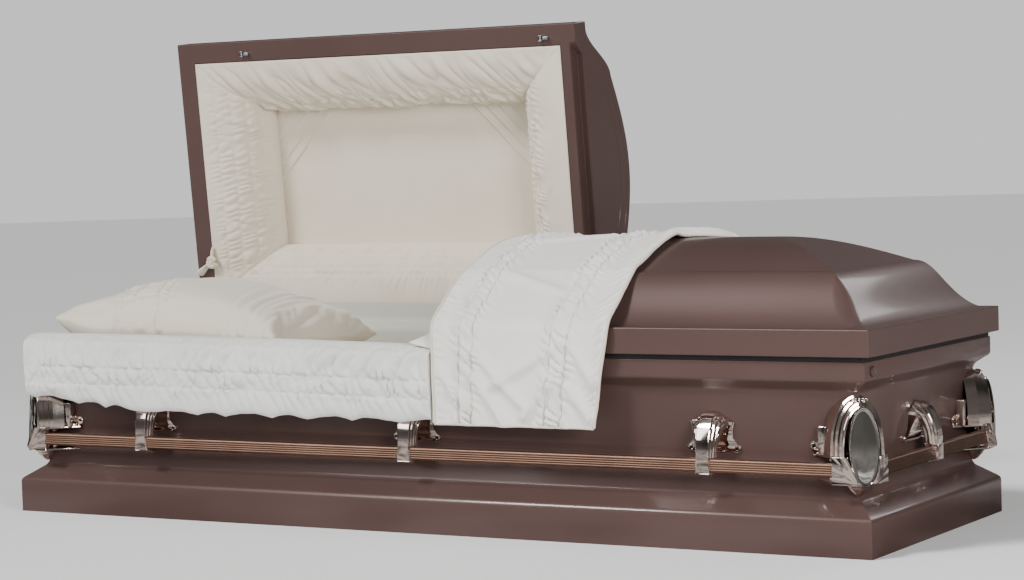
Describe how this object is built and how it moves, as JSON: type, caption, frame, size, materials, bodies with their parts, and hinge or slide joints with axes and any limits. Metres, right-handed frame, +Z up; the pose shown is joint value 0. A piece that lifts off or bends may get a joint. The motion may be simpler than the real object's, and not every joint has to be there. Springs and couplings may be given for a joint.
{
  "type": "half-couch funeral casket",
  "caption": "Sheet steel funeral casket with a split hinged lid, cloth lining, pillow and draped throw, and fluted side bars held by plated arms and oval corner castings",
  "frame": {"origin": "middle of the flat underside of the base", "axes": "+X towards the foot end, -Y out of the front, +Z up"},
  "size_m": [2.1182, 0.9135, 1.0883],
  "materials": {
    "plum_paint": "plum-brown metallic enamel, half gloss",
    "copper_brown": "satin copper-brown plating with fine flutes",
    "nickel": "bright warm nickel plate",
    "mirror_nickel": "mirror-polished nickel plate",
    "zinc": "dull zinc plate",
    "hinge_steel": "plain steel",
    "black_rubber": "matt black",
    "cream_cloth": "cream crepe, shirred in places",
    "white_cloth": "cool white crepe, shirred in places",
    "grey_green_cloth": "plain crepe in shade"
  },
  "bodies": {
    "casket_body": {"base_pan": "plum_paint", "lower_panel": "plum_paint", "body_shell": "plum_paint", "gasket": "black_rubber", "body_lining": "cream_cloth", "bed_frame": "hinge_steel", "mattress": "cream_cloth", "pillow": "cream_cloth", "hinge_cover": "grey_green_cloth", "extendover": "white_cloth", "head_hinge_1_body_leaf": "hinge_steel", "head_hinge_2_body_leaf": "hinge_steel", "foot_hinge_1_body_leaf": "hinge_steel", "foot_hinge_2_body_leaf": "hinge_steel", "bar_front": "copper_brown", "bar_back": "copper_brown", "bar_foot": "copper_brown", "bar_head": "copper_brown", "arm_front_1": "nickel", "arm_front_2": "nickel", "arm_front_3": "nickel", "arm_back_1": "nickel", "arm_back_2": "nickel", "arm_back_3": "nickel", "arm_foot": "nickel", "arm_head": "nickel", "corner_front_foot": "nickel", "corner_back_foot": "nickel", "corner_back_head": "nickel", "corner_front_head": "nickel", "medallion_front_foot": "mirror_nickel", "medallion_back_foot": "mirror_nickel", "medallion_back_head": "mirror_nickel", "medallion_front_head": "mirror_nickel", "end_plug": "plum_paint"},
    "head_lid": {"head_lid_shell": "plum_paint", "head_lid_rolls": "cream_cloth", "head_lid_panel": "cream_cloth", "lid_catch_1": "zinc", "lid_catch_2": "zinc", "lining_tie": "cream_cloth", "head_hinge_1_lid_leaf": "hinge_steel", "head_hinge_2_lid_leaf": "hinge_steel"},
    "foot_lid": {"foot_lid_shell": "plum_paint", "foot_lid_lining": "cream_cloth", "throw": "white_cloth", "foot_hinge_1_lid_leaf": "hinge_steel", "foot_hinge_2_lid_leaf": "hinge_steel"}
  },
  "joints": [
    {"name": "head_lid_hinge", "type": "hinge", "parent": "casket_body", "child": "head_lid", "pos_m": [-0.4885, 0.3525, 0.381], "axis": [1, 0, 0], "range_deg": [0, 84.5], "deforming": ["pillow", "extendover", "hinge_cover", "lining_tie"]},
    {"name": "foot_lid_hinge", "type": "hinge", "parent": "casket_body", "child": "foot_lid", "pos_m": [0.569, 0.3525, 0.381], "axis": [-1, 0, 0], "range_deg": [0, 84.5]}
  ]
}
